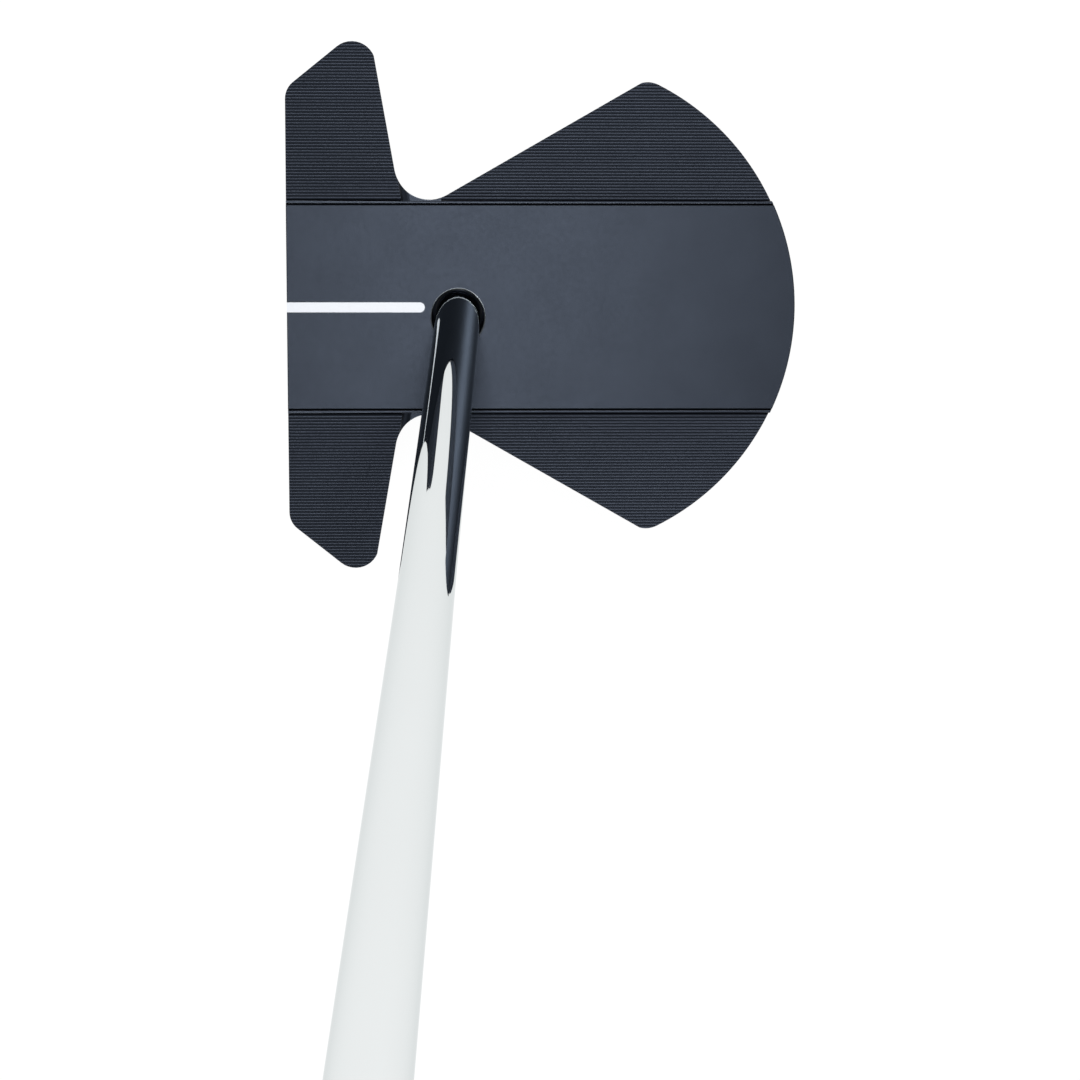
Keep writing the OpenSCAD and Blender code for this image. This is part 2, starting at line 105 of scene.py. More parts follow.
class PutterSizes(PropertyGroup):
    edge_break: length_property("Edge break", "Size of the broken edges of the milled pieces", 0.16)
    trim_break: length_property("Trim edge break", "Size of the small pieces' broken edges", 0.12)
    mouth_round: length_property("Hole edge", "Rounding where the shaft's hole opens", 0.28)
    rubber_round: length_property("Rubber edge", "Rounding of the moulded rubber edges", 0.5)
    shaft_wall: length_property("Shaft wall", "Thickness of the shaft's tube", 0.6)
    taper_blend: length_property("Taper blend", "Length over which the shaft's taper fades in", 24)
    shaft_sides: IntProperty(name="Shaft sides", description="Sides of the round shaft", default=128)


class PutterColours(PropertyGroup):
    band: colour_property("Band", "Blasted and anodised band", "#262a31")
    ribs: colour_property("Ribs", "Milled and anodised ribs", "#2f333b")
    # The lighter edge colour stands for thinned anodising and also paints the highlight that a broken
    # edge catches.
    wear_and_highlight: colour_property("Worn edge", "Anodising thinned along an edge", "#8a919a")
    cover: colour_property("Cover", "Anodised rear cover", "#3a3f46")
    line: colour_property("Line", "Paint of the aiming line", "#f6f8fd")
    chrome: colour_property("Chrome", "Chrome plate", "#e7eaea")
    steel: colour_property("Steel", "Stainless steel", "#b4b6b8")
    dark_steel: colour_property("Dark steel", "Blackened steel screws", "#6a6c70")
    insert: colour_property("Insert", "Face insert", "#8d9196")
    grip: colour_property("Grip", "Polyurethane of the grip", "#232427")
    rubber: colour_property("Rubber", "Moulded rubber", "#1b1b1d")
    epoxy: colour_property("Epoxy", "Black epoxy around the shaft", "#141414")
    floor: colour_property("Floor", "White table", "#f6f6f6")
    sky: colour_property("Sky", "Cool white of the room", "#f5faff")


# ---- nodes and materials ----
def add(tree, kind, settings=None, inputs=None):
    """Adds a node, sets what settings say, and sets or links each input."""
    node = tree.nodes.new(kind)
    for name, value in (settings or {}).items():
        setattr(node, name, value)
    for name, value in (inputs or {}).items():
        socket = node.inputs[name]
        if isinstance(value, bpy.types.NodeSocket):
            tree.links.new(value, socket)
        elif isinstance(value, tuple) and len(value) == 3 and socket.type == "RGBA":
            socket.default_value = (*value, 1)
        else:
            socket.default_value = value
    return node


def new_material(name):
    """A material with an empty tree, its output and the piece's own coordinates."""
    material = bpy.data.materials.new(name)
    material.use_nodes = True
    tree = material.node_tree
    tree.nodes.clear()
    output = add(tree, "ShaderNodeOutputMaterial")
    place = add(tree, "ShaderNodeTexCoord").outputs["Object"]
    return material, tree, output, place


def finish_material(tree, output, values):
    shader = add(tree, "ShaderNodeBsdfPrincipled", inputs=values)
    tree.links.new(shader.outputs[0], output.inputs["Surface"])


def mapped(tree, place, scale=(1, 1, 1), turn=(0, 0, 0), move=(0, 0, 0)):
    """Coordinates moved to a piece, turned to lie along it, and scaled."""
    moved = add(
        tree, "ShaderNodeMapping", {"vector_type": "TEXTURE"},
        {"Vector": place, "Location": move, "Rotation": turn},
    ).outputs[0]
    return add(tree, "ShaderNodeMapping", inputs={"Vector": moved, "Scale": scale}).outputs[0]


def noise(tree, place, wavelength, detail=3.0, rough=0.5):
    """Noise whose largest marks are one wavelength across, in metres."""
    return add(
        tree, "ShaderNodeTexNoise",
        inputs={"Vector": place, "Scale": 1 / wavelength, "Detail": detail, "Roughness": rough},
    ).outputs["Fac"]


def stretched(tree, place, marks, detail, rough=0.5, turn=(0, 0, 0), move=(0, 0, 0)):
    """Noise whose marks have the given length in millimetres along each axis."""
    scale = tuple(1 / mark for mark in marks)
    return noise(tree, mapped(tree, place, scale, turn, move), MM, detail, rough)


def rings(tree, place, pitch, distortion=0.0, detail=2.0):
    """Fine rings around the Z axis, one pitch apart."""
    # A wave of scale 1 has 20 / tau rings to the metre.
    scale = math.tau / (20 * pitch)
    return add(
        tree, "ShaderNodeTexWave", {"wave_type": "RINGS", "rings_direction": "Z"},
        {"Vector": place, "Scale": scale, "Distortion": distortion, "Detail": detail},
    ).outputs["Fac"]


def math_node(tree, operation, a, b=0.0):
    return add(tree, "ShaderNodeMath", {"operation": operation}, {0: a, 1: b}).outputs[0]


def multiply(tree, a, b):
    return math_node(tree, "MULTIPLY", a, b)


def spread(tree, value, low, high, source=(0.0, 1.0)):
    """Maps a value from its source range onto low to high."""
    first, last = source
    return add(
        tree, "ShaderNodeMapRange",
        inputs={"Value": value, "From Min": first, "From Max": last, "To Min": low, "To Max": high},
    ).outputs[0]


def blend(tree, amount, first, second):
    mix = add(tree, "ShaderNodeMix", {"data_type": "RGBA"}, {0: amount, 6: first, 7: second})
    return mix.outputs[2]


def tint(tree, colour, amount):
    """A colour made lighter or darker by a factor."""
    scaled = add(tree, "ShaderNodeVectorMath", {"operation": "SCALE"}, {0: colour, "Scale": amount})
    return scaled.outputs[0]


def bump(tree, height, depth, strength=1.0, normal=None):
    inputs = {"Height": height, "Distance": depth, "Strength": strength}
    if normal is not None:
        inputs["Normal"] = normal
    return add(tree, "ShaderNodeBump", inputs=inputs).outputs[0]


def edge_mask(tree, radius, full=0.80, none=0.99):
    """1 on an edge that handling has worn and that carries a painted highlight, 0 on the open faces,
    and the rounded normal there.
    """
    soft = add(tree, "ShaderNodeBevel", {"samples": 6}, {"Radius": radius}).outputs[0]
    flat = add(tree, "ShaderNodeNewGeometry").outputs["True Normal"]
    alike = add(
        tree, "ShaderNodeVectorMath", {"operation": "DOT_PRODUCT"}, {0: soft, 1: flat}
    ).outputs["Value"]
    return spread(tree, alike, 1.0, 0.0, (full, none)), soft


def bare_edge_highlight(colours):
    """Aluminium laid bare where the hole's edge was broken, brightened as a painted highlight: a thin
    ring brighter than the top.
    """
    material, tree, output, place = new_material("bare_aluminium_painted_highlight")
    fleck = noise(tree, place, 0.5 * MM)
    finish_material(tree, output, {
        "Base Color": tint(tree, tuple(colours.insert), spread(tree, fleck, 0.4, 0.65)),
        "Metallic": 1.0, "Roughness": 0.25, "Normal": bump(tree, fleck, 0.004 * MM, 0.5),
    })
    return material


def anodised_aluminium(colours):
    """Machined aluminium, dyed black: the band is bead-blasted satin, the ribs are as milled."""
    material, tree, output, place = new_material("black_anodised_aluminium")
    facing = add(tree, "ShaderNodeNewGeometry").outputs["True Normal"]
    facing = add(tree, "ShaderNodeSeparateXYZ", inputs={0: facing}).outputs
    # The band faces up and doesn't lean sideways, and the flats of the ribs do.
    level = math_node(tree, "LESS_THAN", math_node(tree, "ABSOLUTE", facing["X"]), 0.08)
    on_band = multiply(tree, level, math_node(tree, "GREATER_THAN", facing["Z"], 0.5))
    # Dye takes unevenly over a few millimetres; the blast leaves a fine grain, drawn at 0.3 mm.
    cloud = noise(tree, place, 11 * MM, 4.0)
    fleck = noise(tree, place, 0.9 * MM, 2.0)
    grain = noise(tree, place, 0.3 * MM, 2.0)
    # The cutter's feed leaves faint changes of shine along each rib.
    streak = stretched(tree, place, (0.6, 14.0, 0.6), 2.0)
    base = blend(tree, on_band, tuple(colours.ribs), tuple(colours.band))
    mottle = multiply(tree, spread(tree, fleck, -0.03, 0.03), on_band)
    shade = math_node(tree, "ADD", spread(tree, cloud, 0.88, 1.12), mottle)
    base = tint(tree, base, shade)
    # The flats of the ribs keep their dye. Only the band's and the outline's edges are lightened:
    # partly wear of the anodising, partly a painted highlight where the edges catch the light.
    steep = math_node(tree, "LESS_THAN", facing["Z"], 0.75)
    wear_and_highlight_faces = math_node(tree, "MAXIMUM", on_band, steep)
    wear_and_highlight = multiply(tree, edge_mask(tree, 0.45 * MM, 0.60, 0.85)[0], wear_and_highlight_faces)
    base = blend(tree, multiply(tree, wear_and_highlight, spread(tree, fleck, 0.3, 0.6)), base, tuple(colours.wear_and_highlight))
    blasted = spread(tree, fleck, 0.27, 0.35)
    milled = spread(tree, streak, 0.32, 0.38)
    rough = add(tree, "ShaderNodeMix", {"data_type": "FLOAT"}, {0: on_band, 2: milled, 3: blasted})
    finish_material(tree, output, {
        "Base Color": base, "Metallic": 1.0, "Roughness": rough.outputs[0],
        "Normal": bump(tree, multiply(tree, grain, on_band), 0.008 * MM, 0.6),
    })
    return material


def satin_anodised(name, colour, wear_and_highlight_colour):
    """Aluminium plate, blasted and anodised: an even satin grey with brighter edges, partly worn and
    partly a painted highlight.
    """
    material, tree, output, place = new_material(name)
    cloud = noise(tree, place, 9 * MM, 4.0)
    grain = noise(tree, place, 0.3 * MM, 2.0)
    wear_and_highlight, soft = edge_mask(tree, 0.2 * MM)
    base = tint(tree, colour, spread(tree, cloud, 0.88, 1.12))
    # Lighter edges: wear and a painted highlight.
    base = blend(tree, multiply(tree, wear_and_highlight, 0.4), base, wear_and_highlight_colour)
    finish_material(tree, output, {
        "Base Color": base, "Metallic": 1.0, "Roughness": spread(tree, grain, 0.3, 0.4),
        "Normal": bump(tree, grain, 0.008 * MM, 0.6, soft),
    })
    return material


def line_enamel(colours):
    """White enamel filled into a groove: smooth, with the slight orange peel of poured paint."""
    material, tree, output, place = new_material("white_line_enamel")
    peel = noise(tree, place, 0.8 * MM)
    base = tint(tree, tuple(colours.line), spread(tree, peel, 0.97, 1.03))
    finish_material(tree, output, {
        "Base Color": base, "Roughness": 0.3, "IOR": 1.5, "Normal": bump(tree, peel, 0.02 * MM, 0.5),
    })
    return material


def chrome_plate(colours):
    """Chrome over polished steel: a mirror with faint polishing lines along it and wiped smears."""
    material, tree, output, place = new_material("chrome_plate")
    on_axis = {"turn": (0, LEAN, 0), "move": tuple(AXIS_FOOT)}
    polish = stretched(tree, place, (0.4, 0.4, 60.0), 3.0, **on_axis)
    smear = stretched(tree, place, (14.0, 14.0, 56.0), 4.0, **on_axis)
    rough = math_node(tree, "ADD", spread(tree, polish, 0.0, 0.012), spread(tree, smear, 0.005, 0.03))
    finish_material(tree, output, {
        "Base Color": tint(tree, tuple(colours.chrome), spread(tree, smear, 0.98, 1.02)),
        "Metallic": 1.0, "Roughness": rough, "Specular Tint": (0.8, 0.82, 0.82),
        "Normal": bump(tree, polish, 0.0005 * MM, 0.4),
    })
    return material


def brushed_steel(name, colour, marks, rough):
    """Stainless steel brushed one way: parallel scratches, marks millimetres long on each axis."""
    material, tree, output, place = new_material(name)
    lines = stretched(tree, place, marks, 4.0, 0.6)
    stain = noise(tree, place, 7 * MM)
    wear_and_highlight, soft = edge_mask(tree, 0.15 * MM)
    shade = multiply(tree, spread(tree, lines, 0.8, 1.15), spread(tree, stain, 0.94, 1.05))
    # The edges are lightened towards bright steel: partly wear, partly a painted highlight.
    base = blend(tree, multiply(tree, wear_and_highlight, 0.5), tint(tree, colour, shade), linear("#d9dadc"))
    finish_material(tree, output, {
        "Base Color": base, "Metallic": 1.0,
        "Roughness": spread(tree, lines, rough - 0.08, rough + 0.12),
        "Normal": bump(tree, lines, 0.006 * MM, 0.6, soft),
    })
    return material


def turned_steel(name, colour, centre):
    """Stainless steel faced on a lathe: fine rings around the piece's own centre."""
    material, tree, output, place = new_material(name)
    turning = rings(tree, mapped(tree, place, move=centre), 0.99 * MM, 0.4, 1.0)
    smear = noise(tree, place, 4 * MM)
    wear_and_highlight, soft = edge_mask(tree, 0.15 * MM)
    base = tint(tree, colour, spread(tree, smear, 0.88, 1.08))
    # The edges are lightened towards bright steel: partly wear, partly a painted highlight.
    base = blend(tree, multiply(tree, wear_and_highlight, 0.4), base, linear("#dcdde0"))
    finish_material(tree, output, {
        "Base Color": base, "Metallic": 1.0, "Roughness": spread(tree, smear, 0.22, 0.36),
        "Normal": bump(tree, turning, 0.01 * MM, 0.6, soft),
    })
    return material


def milled_insert(colours, height):
    """Soft aluminium under a satin clear anodise, milled by a fly cutter that leaves wide arcs."""
    material, tree, output, place = new_material("milled_insert_aluminium")
    # The arcs are swung about a point a cutter's radius below the middle of the face.
    swing = 60 * MM
    spot = mapped(tree, place, turn=(math.pi / 2, 0, 0), move=(0, 0, height - swing))
    arcs = rings(tree, spot, 1.4 * MM)
    fleck = noise(tree, place, 0.6 * MM)
    soft = edge_mask(tree, 0.15 * MM)[1]
    base = tint(tree, tuple(colours.insert), spread(tree, fleck, 0.92, 1.05))
    finish_material(tree, output, {
        "Base Color": base, "Metallic": 1.0, "Roughness": spread(tree, fleck, 0.3, 0.42),
        "Normal": bump(tree, arcs, 0.03 * MM, 0.8, soft),
    })
    return material


def moulded_rubber(name, colour, pebble, rough):
    """Rubber from a spark-eroded mould: a fine matt pebble whose shine shifts with dust and oil."""
    material, tree, output, place = new_material(name)
    grain = noise(tree, place, pebble, 2.0)
    cloud = noise(tree, place, 12 * MM, 4.0)
    shade = multiply(tree, spread(tree, cloud, 0.85, 1.15), spread(tree, grain, 0.9, 1.1))
    finish_material(tree, output, {
        "Base Color": tint(tree, colour, shade),
        "Roughness": spread(tree, cloud, rough - 0.08, rough + 0.08),
        "IOR": 1.5, "Specular IOR Level": 0.4, "Normal": bump(tree, grain, 0.05 * MM, 0.7),
    })
    return material


def grip_polyurethane(colours, start, end):
    """Polyurethane skin: crossed fine grooves, plain bands at both ends and a seam at the back."""
    material, tree, output, place = new_material("grip_polyurethane")
    along = mapped(tree, place, turn=(0, LEAN, 0), move=tuple(AXIS_FOOT))
    spot = add(tree, "ShaderNodeSeparateXYZ", inputs={0: along}).outputs
    # A mean radius of 15 mm turns the angle into a length around the grip.
    round_length = multiply(tree, math_node(tree, "ARCTAN2", spot["Y"], spot["X"]), 15 * MM)
    pitch, slant, margin = 2.4 * MM, 1.2, 9 * MM
    ridges = []
    for sign in (1, -1):
        lean = math_node(tree, "ADD", spot["Z"], multiply(tree, round_length, sign * slant))
        wave = math_node(tree, "SINE", multiply(tree, lean, math.tau / pitch))
        ridges.append(spread(tree, wave, 0.0, 1.0, (-0.95, -0.55)))
    groove = math_node(tree, "MINIMUM", *ridges)
    low = spread(tree, spot["Z"], 0.0, 1.0, (start + margin, start + margin + MM))
    high = spread(tree, spot["Z"], 1.0, 0.0, (end - margin - MM, end - margin))
    plain = math_node(tree, "SUBTRACT", 1.0, multiply(tree, low, high))
    groove = math_node(tree, "MAXIMUM", groove, plain)
    # The seam is a narrow dip where the skin's edges meet, opposite the flat.
    beside = spread(tree, math_node(tree, "ABSOLUTE", spot["Y"]), 0.0, 1.0, (0.1 * MM, 0.35 * MM))
    behind = math_node(tree, "LESS_THAN", spot["X"], 0.0)
    height = multiply(tree, groove, math_node(tree, "MAXIMUM", beside, behind))
    pebble = noise(tree, place, 0.35 * MM, 2.0)
    cloud = noise(tree, place, 25 * MM, 4.0)
    skin = tint(tree, tuple(colours.grip), spread(tree, cloud, 0.85, 1.15))
    # The grooves and the seam's dip are painted near black, as painted shade in the recesses.
    finish_material(tree, output, {
        "Base Color": blend(tree, height, linear("#0f0f10"), skin),
        "Roughness": spread(tree, cloud, 0.48, 0.62), "IOR": 1.5,
        "Normal": bump(tree, height, 0.25 * MM, 0.9, bump(tree, pebble, 0.03 * MM, 0.6)),
    })
    return material


def plain_filler(name, colour, wavelength, rough):
    """A filler such as cured epoxy, foam, tape or nylon: matt, with a slightly uneven surface."""
    material, tree, output, place = new_material(name)
    cloud = noise(tree, place, wavelength)
    finish_material(tree, output, {
        "Base Color": tint(tree, colour, spread(tree, cloud, 0.85, 1.15)),
        "Roughness": spread(tree, cloud, rough - 0.05, rough + 0.1), "IOR": 1.5,
        "Normal": bump(tree, cloud, 0.05 * MM, 0.5),
    })
    return material


# ---- shaping ----
def alone(obj):
    """Leaves only this object selected, and active."""
    bpy.ops.object.select_all(action="DESELECT")
    obj.select_set(True)
    bpy.context.view_layer.objects.active = obj


def smooth_faces(piece):
    """Smooths the round faces, and keeps each flat face's own normal next to a broken edge."""
    alone(piece)
    bpy.ops.object.shade_smooth_by_angle(angle=math.radians(32))
    weigh = piece.modifiers.new("Flat faces first", "WEIGHTED_NORMAL")
    weigh.keep_sharp = True
    weigh.weight = 100
    bpy.ops.object.modifier_apply(modifier=weigh.name)


def dress(obj, material):
    obj.data.materials.clear()
    obj.data.materials.append(material)


def dress_node(node, material):
    dress(frame["nodes"][node], material)


def refined(node, name, material, break_size, segments=2):
    """A copy of a CAD node, joined up, with its sharp edges broken and its round faces smooth."""
    source = frame["nodes"][node]
    alone(source)
    bpy.ops.object.duplicate()
    piece = bpy.context.view_layer.objects.active
    piece.name = name
    piece.parent = None
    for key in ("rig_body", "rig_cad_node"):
        del piece[key]
    bpy.ops.object.mode_set(mode="EDIT")
    bpy.ops.mesh.select_mode(type="VERT")
    bpy.ops.mesh.select_all(action="SELECT")
    bpy.ops.mesh.customdata_custom_splitnormals_clear()
    bpy.ops.mesh.remove_doubles(threshold=0.002 * MM)
    bpy.ops.mesh.dissolve_limited(angle_limit=math.radians(0.4))
    bpy.ops.object.mode_set(mode="OBJECT")
    if break_size:
        edge_break = piece.modifiers.new("Edge break", "BEVEL")
        edge_break.width = break_size
        edge_break.segments = segments
        edge_break.limit_method = "ANGLE"
        edge_break.angle_limit = math.radians(50)
        edge_break.use_clamp_overlap = True
        bpy.ops.object.modifier_apply(modifier=edge_break.name)
    smooth_faces(piece)
    dress(piece, material)
    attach(piece, BODY)
    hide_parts(node)
    return piece


def from_axis(point):
    """How far a point is along the club's axis, and how far out from it."""
    run = (point - AXIS_FOOT).dot(AXIS)
    return run, (point - AXIS_FOOT - AXIS * run).length


def along_and_out(node):
    return [from_axis(vertex.co) for vertex in frame["nodes"][node].data.vertices]


def shaft_profile(blend_length):
    """Rings of the shaft's outside: distance along the axis and radius, with a softened taper."""
    places = along_and_out("shaft")
    foot = min(run for run, _ in places)
    end = max(run for run, _ in places)
    tip_radius = max(out for run, out in places if run < foot + MM)
    butt_radius = max(out for run, out in places if run > end - MM)
    taper = max(run for run, out in places if abs(out - tip_radius) < 0.001 * MM)
    slope = (butt_radius - tip_radius) / (end - taper)
    blend_start = taper - blend_length / 2
    profile = [(foot, tip_radius), (blend_start, tip_radius)]
    steps = 8
    for i in range(1, steps + 1):
        share = i / steps
        growth = slope * blend_length / 2 * share * share
        profile.append((blend_start + blend_length * share, tip_radius + growth))
    profile.append((end, butt_radius))
    return profile


# ---- operators ----
class PUTTER_OT_stage(Operator):
    """Sets up the white table, the soft lights and the camera above the head"""

    bl_idname = "putter.stage"
    bl_label = "Stage"

    def execute(self, context):
        colours = context.scene.putter_colours
        context.scene.view_settings.view_transform = "Standard"
        self.table(colours)
        self.sky(context.scene, colours)
        # One softbox overhead, and one beyond the toe that the shaft picks up from the band.
        self.softbox("overhead_softbox", place=(-0.1, 0.07, 2.0), aim=(-0.1, 0.07, 0),
                     size=(0.9, 0.46), radiance=7.6)
        self.softbox("toe_softbox", place=(-0.98, 0.95, 1.95), aim=(0, 0, 0),
                     size=(0.55, 0.55), radiance=17.0)
        for corner in range(4):
            self.card(corner, colours)
        self.camera(context.scene)
        return {"FINISHED"}

    def table(self, colours):
        """A white table that glows a little, to be as white in the chrome as around the head."""
        bpy.ops.object.select_all(action="DESELECT")
        bpy.ops.mesh.primitive_plane_add(size=60, location=(0, 0, -0.02 * MM))
        floor = bpy.context.active_object
        floor.name = "table"
        material, tree, output, place = new_material("white_table")
        cloud = noise(tree, place, 0.4)
        finish_material(tree, output, {
            "Base Color": tint(tree, tuple(colours.floor), spread(tree, cloud, 0.07, 0.09)),
            "Roughness": 0.8, "Specular IOR Level": 0.0,
            "Emission Color": (1.0, 1.0, 1.0, 1.0), "Emission Strength": 0.97,
        })
        dress(floor, material)

    def sky(self, scene, colours):
        """A cool white room, brightest where it meets the table and darkest overhead."""
        world = scene.world or bpy.data.worlds.new("studio")
        scene.world = world
        world.use_nodes = True
        tree = world.node_tree
        tree.nodes.clear()
        toward = add(tree, "ShaderNodeTexCoord").outputs["Generated"]
        up = add(tree, "ShaderNodeSeparateXYZ", inputs={0: toward}).outputs["Z"]
        low_sky = spread(tree, up, 1.0, 0.62, (0.0, 0.22))
        shade = math_node(tree, "SUBTRACT", low_sky, spread(tree, up, 0.0, 0.26, (0.22, 0.9)))
        sky = tint(tree, tuple(colours.sky), shade)
        back = add(tree, "ShaderNodeBackground", inputs={"Color": sky, "Strength": 1.0})
        output = add(tree, "ShaderNodeOutputWorld")
        tree.links.new(back.outputs[0], output.inputs["Surface"])

    def card(self, corner, colours):
        """A tall dark card off one corner of the table, for the chrome to pick up."""
        distance, middle = 1.7, 0.8
        height, width = 1.5, 0.45
        bpy.ops.object.select_all(action="DESELECT")
        bpy.ops.mesh.primitive_plane_add(size=1)
        card = bpy.context.active_object
        card.name = "card_%d" % (corner + 1)
        bpy.ops.transform.resize(value=(height, width, 1))
        bpy.ops.transform.rotate(value=math.pi / 2, orient_axis="Y", center_override=(0, 0, 0))
        bpy.ops.transform.translate(value=(distance, 0, middle))
        bearing = math.radians(45 + 90 * corner)
        bpy.ops.transform.rotate(value=-bearing, orient_axis="Z", center_override=(0, 0, 0))
        bpy.ops.object.transform_apply(location=True, rotation=True, scale=True)
        dress(card, plain_filler("black_card_%d" % (corner + 1), tuple(colours.rubber), 0.1, 0.9))
        card.visible_camera = False

    def softbox(self, name, place, aim, size, radiance):
        """A rectangular light of the given brightness that faces its aim."""
        light = bpy.data.lights.new(name, "AREA")
        light.shape = "RECTANGLE"
        light.size, light.size_y = size
        light.energy = radiance * math.pi * size[0] * size[1]
        holder = bpy.data.objects.new(name, light)
        bpy.context.scene.collection.objects.link(holder)
        holder.location = place
        holder.rotation_euler = (Vector(aim) - Vector(place)).to_track_quat("-Z", "Y").to_euler()
        holder.visible_camera = False

    def camera(self, scene):
        """The player's view: half a metre above the head, with the toe at the top of the picture."""
        camera = bpy.data.objects.new("camera", bpy.data.cameras.new("camera"))
        scene.collection.objects.link(camera)
        camera.data.lens = 77.0
        camera.data.clip_start = 0.01
        behind_face, above_table = 59 * MM, 512 * MM
        camera.location = (0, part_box("head_body")[0].y + behind_face, above_table)
        forward = Vector((0.1007, -0.0094, -1)).normalized()
        right = forward.cross(Vector((-1, 0, 0))).normalized()
        turn = Matrix((right, right.cross(forward), -forward)).transposed()
        camera.rotation_euler = turn.to_euler()
        scene.camera = camera


class PUTTER_OT_head(Operator):
    """Finishes the milled head, its aiming line, its face insert and the pad behind it"""

    bl_idname = "putter.head"
    bl_label = "Head"

    def execute(self, context):
        sizes, colours = context.scene.putter_sizes, context.scene.putter_colours
        black = anodised_aluminium(colours)
        head = refined("head_body", "head", black, 0)
        # The rim of the shaft's hole takes the second material: bare aluminium brightened into a
        # painted highlight.
        head.data.materials.append(bare_edge_highlight(colours))
        self.round_mouth(head, sizes.mouth_round)
        self.break_edges(head, sizes.edge_break)
        dress_node("alignment_line", line_enamel(colours))
        low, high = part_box("face_insert")
        insert = milled_insert(colours, (low.z + high.z) / 2)
        refined("face_insert", "milled_insert", insert, sizes.edge_break)
        pad = plain_filler("damping_elastomer", tuple(colours.rubber), 2 * MM, 0.7)
        dress_node("face_damping_pad", pad)
        return {"FINISHED"}

    def break_edges(self, head, size):
        """Breaks the long outer edges of the head, and leaves the ribs and the two lips crisp."""
        alone(head)
        bpy.ops.object.mode_set(mode="EDIT")
        bpy.ops.mesh.select_mode(type="EDGE")
        bpy.ops.mesh.select_all(action="DESELECT")
        shape = bmesh.from_edit_mesh(head.data)
        shortest, bluntest = 0.9 * MM, math.radians(75)
        for edge in shape.edges:
            if len(edge.link_faces) == 2 and edge.is_convex and edge.calc_length() > shortest:
                edge.select = edge.calc_face_angle() > bluntest
        bmesh.update_edit_mesh(head.data)
        bpy.ops.mesh.bevel(offset=size, segments=2, profile=0.5)
        bpy.ops.object.mode_set(mode="OBJECT")
        smooth_faces(head)

    def round_mouth(self, head, size):
        """Rounds the edge where the shaft's hole opens in the top of the head."""
        mesh = head.data
        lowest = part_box("head_body")[1].z - 3 * MM
        hole = max(out for _, out in along_and_out("epoxy_sleeve"))
        near = set()
        for vertex in mesh.vertices:
            out = from_axis(vertex.co)[1]
            if vertex.co.z > lowest and hole < out < hole + 1.2 * MM:
                near.add(vertex.index)
        alone(head)
        bpy.ops.object.mode_set(mode="EDIT")
        bpy.ops.mesh.select_mode(type="EDGE")
        bpy.ops.mesh.select_all(action="DESELECT")
        bpy.ops.object.mode_set(mode="OBJECT")
        for edge in mesh.edges:
            edge.select = all(index in near for index in edge.vertices)
        bpy.ops.object.mode_set(mode="EDIT")
        bpy.ops.mesh.bevel(offset=size, segments=3, profile=0.5, material=1)
        bpy.ops.object.mode_set(mode="OBJECT")


class PUTTER_OT_sole(Operator):
    """Finishes the sole plate, the rear cover, its gasket and all their screws"""

    bl_idname = "putter.sole"
    bl_label = "Sole"

    def execute(self, context):
        sizes, colours = context.scene.putter_sizes, context.scene.putter_colours
        plate = brushed_steel("brushed_sole_steel", tuple(colours.steel), (12.0, 0.15, 0.15), 0.3)
        dark = tuple(colours.dark_steel)
        screw = brushed_steel("blackened_screw_steel", dark, (0.3, 0.3, 0.3), 0.34)
        cover_colours = tuple(colours.cover), tuple(colours.wear_and_highlight)
        cover = satin_anodised("cover_anodised_aluminium", *cover_colours)
        refined("sole_plate", "sole_plate_steel", plate, sizes.edge_break)
        refined("rear_cover", "rear_cover_plate", cover, sizes.edge_break)
        refined("sole_plate_screws", "sole_screws", screw, sizes.trim_break)
        refined("rear_cover_screws", "cover_screws", screw, sizes.trim_break)
        gasket = plain_filler("gasket_rubber", tuple(colours.rubber), 1 * MM, 0.7)
        dress_node("rear_cover_gasket", gasket)
        return {"FINISHED"}


class PUTTER_OT_weights(Operator):
    """Finishes the four sole weights with their washers and thread sleeves"""

    bl_idname = "putter.weights"
    bl_label = "Weights"

    def execute(self, context):
        sizes, colours = context.scene.putter_sizes, context.scene.putter_colours
        for node in ("front_heel_weight", "front_toe_weight", "rear_heel_weight", "rear_toe_weight"):
            low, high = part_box(node)
            centre = (low + high) / 2
            material = turned_steel("turned_" + node, tuple(colours.steel), tuple(centre))
            refined(node, node + "_turned", material, sizes.trim_break)
        dress_node("weight_washers", plain_filler("washer_nylon", tuple(colours.rubber), 1 * MM, 0.5))
        sleeve = brushed_steel("sleeve_steel", tuple(colours.steel), (0.3, 0.3, 0.3), 0.3)
        dress_node("weight_thread_sleeves", sleeve)
        return {"FINISHED"}


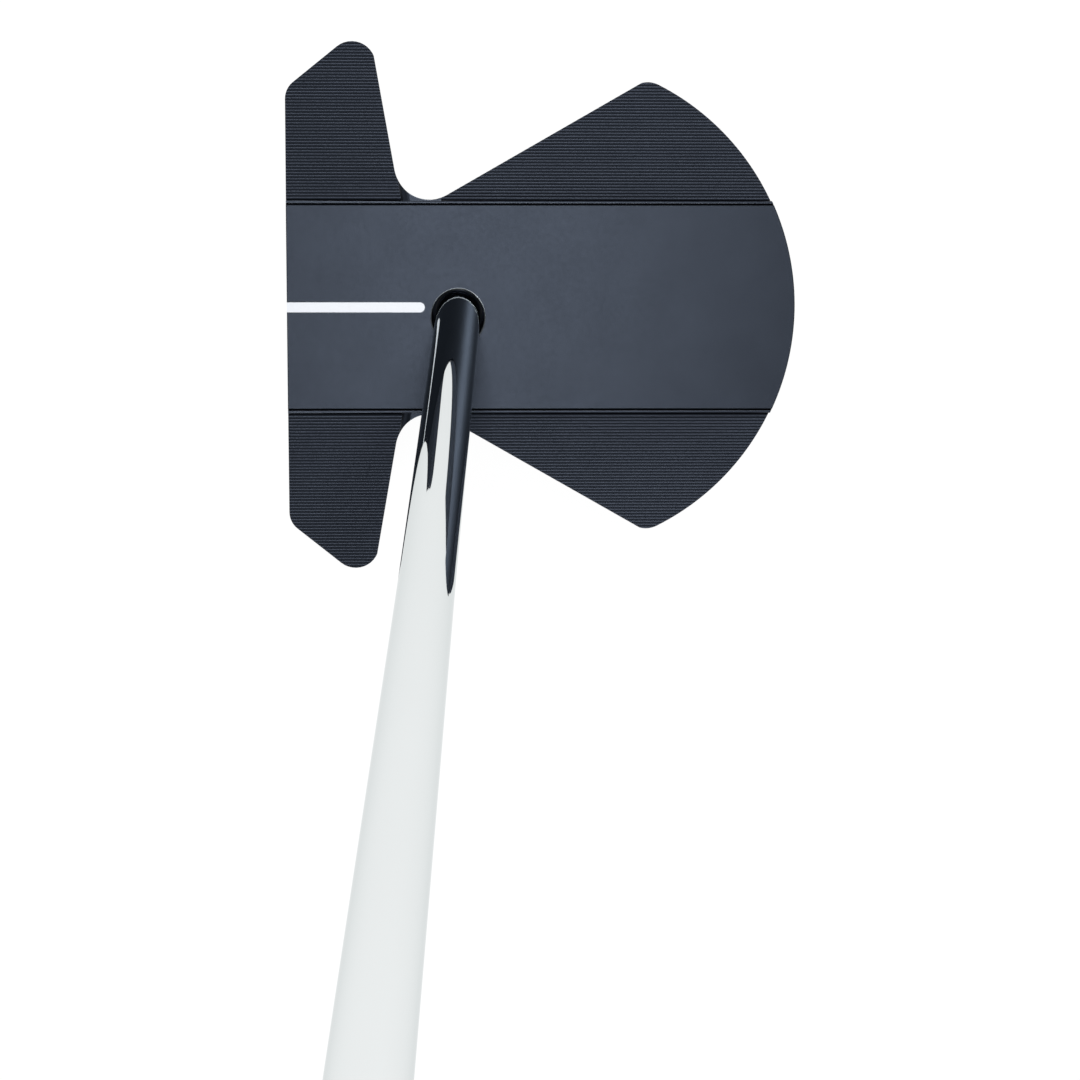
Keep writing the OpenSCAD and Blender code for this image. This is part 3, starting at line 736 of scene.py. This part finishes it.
class PUTTER_OT_shaft(Operator):
    """Draws the chrome shaft as one smooth tapered tube and finishes the epoxy around its tip"""

    bl_idname = "putter.shaft"
    bl_label = "Shaft"

    def execute(self, context):
        sizes, colours = context.scene.putter_sizes, context.scene.putter_colours
        profile = shaft_profile(sizes.taper_blend)
        start, radius = profile[0]
        bpy.ops.object.select_all(action="DESELECT")
        bpy.ops.mesh.primitive_circle_add(
            vertices=sizes.shaft_sides, radius=radius, location=(0, 0, start), fill_type="NOTHING"
        )
        shaft = context.active_object
        shaft.name = "chrome_shaft"
        bpy.ops.object.mode_set(mode="EDIT")
        bpy.ops.mesh.select_all(action="SELECT")
        for (run, out), (next_run, next_out) in zip(profile, profile[1:]):
            bpy.ops.mesh.extrude_region_move(TRANSFORM_OT_translate={"value": (0, 0, next_run - run)})
            bpy.ops.transform.resize(value=(next_out / out, next_out / out, 1))
        bpy.ops.mesh.select_all(action="SELECT")
        bpy.ops.mesh.normals_make_consistent(inside=False)
        bpy.ops.object.mode_set(mode="OBJECT")
        thick = shaft.modifiers.new("Wall", "SOLIDIFY")
        thick.thickness = sizes.shaft_wall
        thick.offset = -1
        bpy.ops.object.modifier_apply(modifier=thick.name)
        bpy.ops.object.transform_apply(location=True, rotation=True, scale=True)
        shaft.data.transform(Matrix.Translation(AXIS_FOOT) @ Matrix.Rotation(LEAN, 4, "Y"))
        bpy.ops.object.mode_set(mode="EDIT")
        bpy.ops.mesh.select_all(action="SELECT")
        bpy.ops.mesh.normals_make_consistent(inside=False)
        bpy.ops.object.mode_set(mode="OBJECT")
        bpy.ops.object.shade_smooth_by_angle(angle=math.radians(30))
        dress(shaft, chrome_plate(colours))
        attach(shaft, BODY)
        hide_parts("shaft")
        dress_node("epoxy_sleeve", plain_filler("cured_epoxy", tuple(colours.epoxy), 1 * MM, 0.3))
        return {"FINISHED"}


class PUTTER_OT_grip(Operator):
    """Finishes the grip: its tape, core, skin, collar and end cap"""

    bl_idname = "putter.grip"
    bl_label = "Grip"

    def execute(self, context):
        sizes, colours = context.scene.putter_sizes, context.scene.putter_colours
        runs = [run for run, _ in along_and_out("grip_skin")]
        rubber = moulded_rubber("moulded_grip_rubber", tuple(colours.rubber), 0.4 * MM, 0.55)
        skin = grip_polyurethane(colours, min(runs), max(runs))
        refined("grip_skin", "grip_wrap", skin, 0)
        refined("grip_collar", "grip_mouth", rubber, sizes.rubber_round, segments=3)
        refined("grip_end_cap", "grip_cap", rubber, 0)
        dress_node("grip_tape", plain_filler("tape_paper", linear("#e4dfd0"), 3 * MM, 0.8))
        dress_node("grip_core", plain_filler("core_foam", linear("#3a3a3a"), 0.8 * MM, 0.85))
        return {"FINISHED"}


STEPS = (
    PUTTER_OT_stage, PUTTER_OT_head, PUTTER_OT_sole,
    PUTTER_OT_weights, PUTTER_OT_shaft, PUTTER_OT_grip,
)


class PUTTER_PT_panel(Panel):
    """Lists the putter's sizes, colours and steps"""

    bl_label = "Mallet Putter"
    bl_idname = "PUTTER_PT_panel"
    bl_space_type = "VIEW_3D"
    bl_region_type = "UI"
    bl_category = "Putter"

    def draw(self, context):
        for group in (context.scene.putter_sizes, context.scene.putter_colours):
            for name in group.bl_rna.properties.keys():
                if name not in ("rna_type", "name"):
                    self.layout.prop(group, name)
        for step in STEPS:
            self.layout.operator(step.bl_idname)


CLASSES = (PutterSizes, PutterColours, *STEPS, PUTTER_PT_panel)


def register():
    for item in CLASSES:
        bpy.utils.register_class(item)
    bpy.types.Scene.putter_sizes = PointerProperty(type=PutterSizes)
    bpy.types.Scene.putter_colours = PointerProperty(type=PutterColours)


def unregister():
    del bpy.types.Scene.putter_colours
    del bpy.types.Scene.putter_sizes
    for item in reversed(CLASSES):
        bpy.utils.unregister_class(item)


def main():
    register()
    bpy.ops.putter.stage()
    bpy.ops.putter.head()
    bpy.ops.putter.sole()
    bpy.ops.putter.weights()
    bpy.ops.putter.shaft()
    bpy.ops.putter.grip()


if __name__ == "__main__":
    main()
